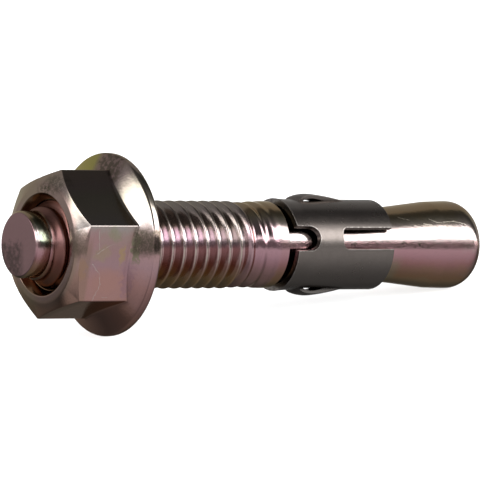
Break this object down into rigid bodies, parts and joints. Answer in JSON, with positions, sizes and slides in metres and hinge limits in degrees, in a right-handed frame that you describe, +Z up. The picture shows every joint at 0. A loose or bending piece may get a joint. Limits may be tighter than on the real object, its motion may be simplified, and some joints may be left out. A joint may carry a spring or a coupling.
{
  "type": "wedge anchor",
  "caption": "Wedge anchor: a threaded stud with a tapered end, a slotted expansion clip round its neck and a flange nut, for fixing things to concrete.",
  "frame": {"origin": "middle of the footprint, on the surface that the anchor lies on", "axes": "+X runs along the anchor from the flat point to the wedge, +Z is up; the anchor lies on the rim of its nut and on the end of its wedge, so that its axis slopes down by 6.24 degrees towards +X"},
  "size_m": [0.0776, 0.0256, 0.0255],
  "materials": {
    "stud_zinc": "glossy yellow zinc plating, iridescent from mauve and pink to olive",
    "nut_zinc": "glossy yellow zinc plating with scratched flats, iridescent from mauve to olive and orange",
    "clip_steel": "satin dark grey sheet steel"
  },
  "bodies": {
    "stud": {"anchor_body": "stud_zinc"},
    "nut": {"flange_nut": "nut_zinc"},
    "clip": {"expansion_clip": "clip_steel"}
  },
  "joints": [
    {"name": "nut_turn", "type": "hinge", "parent": "stud", "child": "nut", "pos_m": [-0.0286, 0, 0.01329], "axis": [0.9941, 0, -0.1087], "continuous": true},
    {"name": "clip_slide", "type": "slide", "parent": "stud", "child": "clip", "axis": [0.9941, 0, -0.1087], "range_m": [-0.0012, 0.003]}
  ]
}
